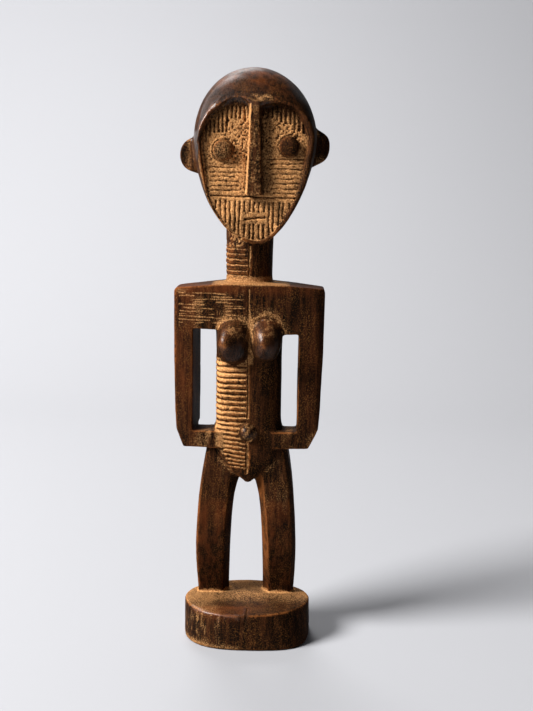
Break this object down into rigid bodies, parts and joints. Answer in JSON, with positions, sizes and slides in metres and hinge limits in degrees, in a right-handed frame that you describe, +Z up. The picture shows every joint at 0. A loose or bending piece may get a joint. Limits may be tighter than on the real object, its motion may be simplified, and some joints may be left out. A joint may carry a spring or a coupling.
{
  "type": "carved standing ancestor figure",
  "caption": "Standing wooden ancestor figure with a shield-shaped sunken face, square shoulders, hands at the hips and bowed legs, carved in one block with its low oval base.",
  "frame": {"origin": "middle of the base's underside", "axes": "+Z up, the figure faces -Y, +X to the viewer's right"},
  "size_m": [0.1046, 0.0739, 0.3992],
  "materials": {
    "carved_wood": "hand carved hardwood with a dark brown worn patina, ochre dust in the cuts and a low sheen on the edges"
  },
  "bodies": {
    "root": {"figure": "carved_wood"}
  },
  "joints": []
}
